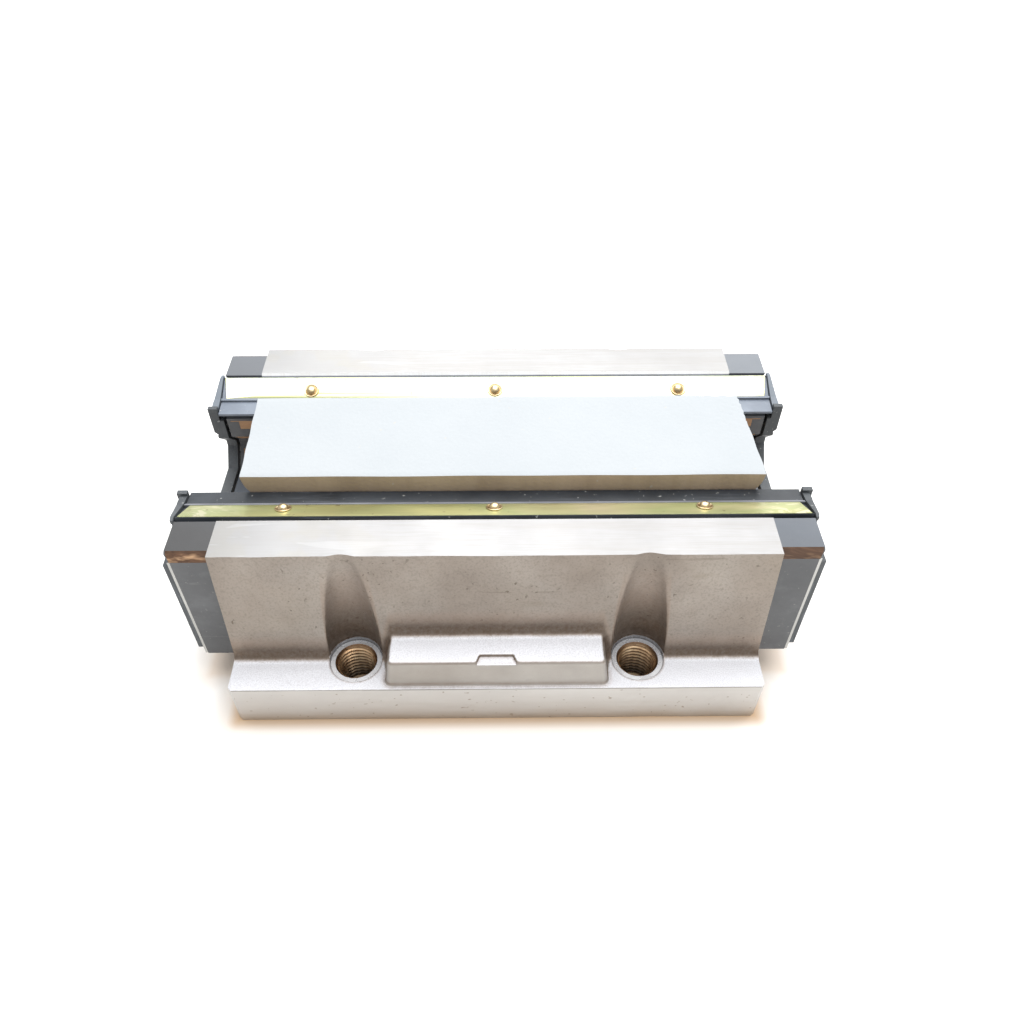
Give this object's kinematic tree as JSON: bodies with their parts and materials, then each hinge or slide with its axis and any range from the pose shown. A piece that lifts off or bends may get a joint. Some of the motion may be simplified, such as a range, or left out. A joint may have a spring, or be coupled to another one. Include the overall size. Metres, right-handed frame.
{
  "type": "linear guide carriage",
  "caption": "Flanged roller carriage for a profiled linear rail: forged body with threaded flange, end caps, end and strip seals, recirculating rollers and a foam transport insert.",
  "frame": {"origin": "centre of the mounting face, which the carriage rests on", "axes": "+X along the rail, +Y across it towards the far flange, +Z away from the mounting face towards the channel's mouth"},
  "size_m": [0.2452, 0.17, 0.0742],
  "materials": {
    "forged_steel": "forged skin, machined and ground faces",
    "cap_plastic": "moulded, semi-matt",
    "brown_plastic": "moulded, glossy",
    "guide_plastic": "moulded",
    "retainer_plastic": "moulded, dark",
    "roller_steel": "ground and lapped",
    "plate_steel": "bright rolled sheet",
    "seal_rubber": "moulded rubber",
    "strip_rubber": "rubber bonded to a carrier",
    "chromate_steel": "yellow chromate plating",
    "rivet_brass": "formed brass",
    "screw_steel": "black oxide",
    "foam": "cut polyethylene foam"
  },
  "bodies": {
    "carriage": {"carriage_body": "forged_steel", "end_cap_left": "cap_plastic", "end_cap_right": "cap_plastic", "return_block_left": "brown_plastic", "return_block_right": "brown_plastic", "turn_guides_left": "guide_plastic", "turn_guides_right": "guide_plastic", "return_tube_upper_near": "guide_plastic", "return_tube_upper_far": "guide_plastic", "return_tube_lower_near": "guide_plastic", "return_tube_lower_far": "guide_plastic", "floor_retainer_near": "retainer_plastic", "floor_retainer_far": "retainer_plastic", "centre_retainer_near": "retainer_plastic", "centre_retainer_far": "retainer_plastic", "mouth_retainer_near": "retainer_plastic", "mouth_retainer_far": "retainer_plastic", "support_plate_left": "plate_steel", "support_plate_right": "plate_steel", "end_seal_left": "seal_rubber", "end_seal_right": "seal_rubber", "cap_screws_left": "screw_steel", "cap_screws_right": "screw_steel", "lube_plug_left": "screw_steel", "lube_plug_right": "screw_steel", "strip_seal_near": "strip_rubber", "strip_seal_far": "strip_rubber", "strip_plate_near": "chromate_steel", "strip_plate_far": "chromate_steel", "strip_rivets_near": "rivet_brass", "strip_rivets_far": "rivet_brass"},
    "load_rollers_upper_near": {"load_rollers_upper_near": "roller_steel"},
    "load_rollers_upper_far": {"load_rollers_upper_far": "roller_steel"},
    "load_rollers_lower_near": {"load_rollers_lower_near": "roller_steel"},
    "load_rollers_lower_far": {"load_rollers_lower_far": "roller_steel"},
    "return_rollers_upper_near": {"return_rollers_upper_near": "roller_steel"},
    "return_rollers_upper_far": {"return_rollers_upper_far": "roller_steel"},
    "return_rollers_lower_near": {"return_rollers_lower_near": "roller_steel"},
    "return_rollers_lower_far": {"return_rollers_lower_far": "roller_steel"},
    "turn_rollers_left_upper_near": {"turn_rollers_left_upper_near": "roller_steel"},
    "turn_rollers_left_upper_far": {"turn_rollers_left_upper_far": "roller_steel"},
    "turn_rollers_left_lower_near": {"turn_rollers_left_lower_near": "roller_steel"},
    "turn_rollers_left_lower_far": {"turn_rollers_left_lower_far": "roller_steel"},
    "turn_rollers_right_upper_near": {"turn_rollers_right_upper_near": "roller_steel"},
    "turn_rollers_right_upper_far": {"turn_rollers_right_upper_far": "roller_steel"},
    "turn_rollers_right_lower_near": {"turn_rollers_right_lower_near": "roller_steel"},
    "turn_rollers_right_lower_far": {"turn_rollers_right_lower_far": "roller_steel"},
    "foam_insert": {"foam_insert": "foam"}
  },
  "joints": [
    {"name": "foam_slide", "type": "slide", "parent": "carriage", "child": "foam_insert", "axis": [1, 0, 0], "range_m": [-0.225, 0.225]},
    {"name": "load_run_upper_near", "type": "slide", "parent": "carriage", "child": "load_rollers_upper_near", "axis": [1, 0, 0], "range_m": [-0.00366, 0.00366]},
    {"name": "return_run_upper_near", "type": "slide", "parent": "carriage", "child": "return_rollers_upper_near", "axis": [1, 0, 0], "range_m": [-0.00366, 0.00366]},
    {"name": "turn_left_upper_near", "type": "hinge", "parent": "carriage", "child": "turn_rollers_left_upper_near", "pos_m": [-0.1025, -0.03538, 0.03162], "axis": [0, 0.7071, -0.7071], "range_deg": [-30.01, 30.01]},
    {"name": "turn_right_upper_near", "type": "hinge", "parent": "carriage", "child": "turn_rollers_right_upper_near", "pos_m": [0.1025, -0.03538, 0.03162], "axis": [0, 0.7071, -0.7071], "range_deg": [-30.01, 30.01]},
    {"name": "load_run_upper_far", "type": "slide", "parent": "carriage", "child": "load_rollers_upper_far", "axis": [1, 0, 0], "range_m": [-0.00366, 0.00366]},
    {"name": "return_run_upper_far", "type": "slide", "parent": "carriage", "child": "return_rollers_upper_far", "axis": [1, 0, 0], "range_m": [-0.00366, 0.00366]},
    {"name": "turn_left_upper_far", "type": "hinge", "parent": "carriage", "child": "turn_rollers_left_upper_far", "pos_m": [-0.1025, 0.03538, 0.03162], "axis": [0, 0.7071, 0.7071], "range_deg": [-30.01, 30.01]},
    {"name": "turn_right_upper_far", "type": "hinge", "parent": "carriage", "child": "turn_rollers_right_upper_far", "pos_m": [0.1025, 0.03538, 0.03162], "axis": [0, 0.7071, 0.7071], "range_deg": [-30.01, 30.01]},
    {"name": "load_run_lower_near", "type": "slide", "parent": "carriage", "child": "load_rollers_lower_near", "axis": [1, 0, 0], "range_m": [-0.00366, 0.00366]},
    {"name": "return_run_lower_near", "type": "slide", "parent": "carriage", "child": "return_rollers_lower_near", "axis": [1, 0, 0], "range_m": [-0.00366, 0.00366]},
    {"name": "turn_left_lower_near", "type": "hinge", "parent": "carriage", "child": "turn_rollers_left_lower_near", "pos_m": [-0.1025, -0.03538, 0.05638], "axis": [0, -0.7071, -0.7071], "range_deg": [-30.01, 30.01]},
    {"name": "turn_right_lower_near", "type": "hinge", "parent": "carriage", "child": "turn_rollers_right_lower_near", "pos_m": [0.1025, -0.03538, 0.05638], "axis": [0, -0.7071, -0.7071], "range_deg": [-30.01, 30.01]},
    {"name": "load_run_lower_far", "type": "slide", "parent": "carriage", "child": "load_rollers_lower_far", "axis": [1, 0, 0], "range_m": [-0.00366, 0.00366]},
    {"name": "return_run_lower_far", "type": "slide", "parent": "carriage", "child": "return_rollers_lower_far", "axis": [1, 0, 0], "range_m": [-0.00366, 0.00366]},
    {"name": "turn_left_lower_far", "type": "hinge", "parent": "carriage", "child": "turn_rollers_left_lower_far", "pos_m": [-0.1025, 0.03538, 0.05638], "axis": [0, -0.7071, 0.7071], "range_deg": [-30.01, 30.01]},
    {"name": "turn_right_lower_far", "type": "hinge", "parent": "carriage", "child": "turn_rollers_right_lower_far", "pos_m": [0.1025, 0.03538, 0.05638], "axis": [0, -0.7071, 0.7071], "range_deg": [-30.01, 30.01]}
  ],
  "couplings": [
    {"joint": "return_run_upper_near", "follows": "load_run_upper_near", "ratio": -1},
    {"joint": "turn_left_upper_near", "follows": "load_run_upper_near", "rad_per_m": 143.03},
    {"joint": "turn_right_upper_near", "follows": "load_run_upper_near", "rad_per_m": 143.03},
    {"joint": "return_run_upper_far", "follows": "load_run_upper_far", "ratio": -1},
    {"joint": "turn_left_upper_far", "follows": "load_run_upper_far", "rad_per_m": 143.03},
    {"joint": "turn_right_upper_far", "follows": "load_run_upper_far", "rad_per_m": 143.03},
    {"joint": "return_run_lower_near", "follows": "load_run_lower_near", "ratio": -1},
    {"joint": "turn_left_lower_near", "follows": "load_run_lower_near", "rad_per_m": 143.03},
    {"joint": "turn_right_lower_near", "follows": "load_run_lower_near", "rad_per_m": 143.03},
    {"joint": "return_run_lower_far", "follows": "load_run_lower_far", "ratio": -1},
    {"joint": "turn_left_lower_far", "follows": "load_run_lower_far", "rad_per_m": 143.03},
    {"joint": "turn_right_lower_far", "follows": "load_run_lower_far", "rad_per_m": 143.03}
  ]
}
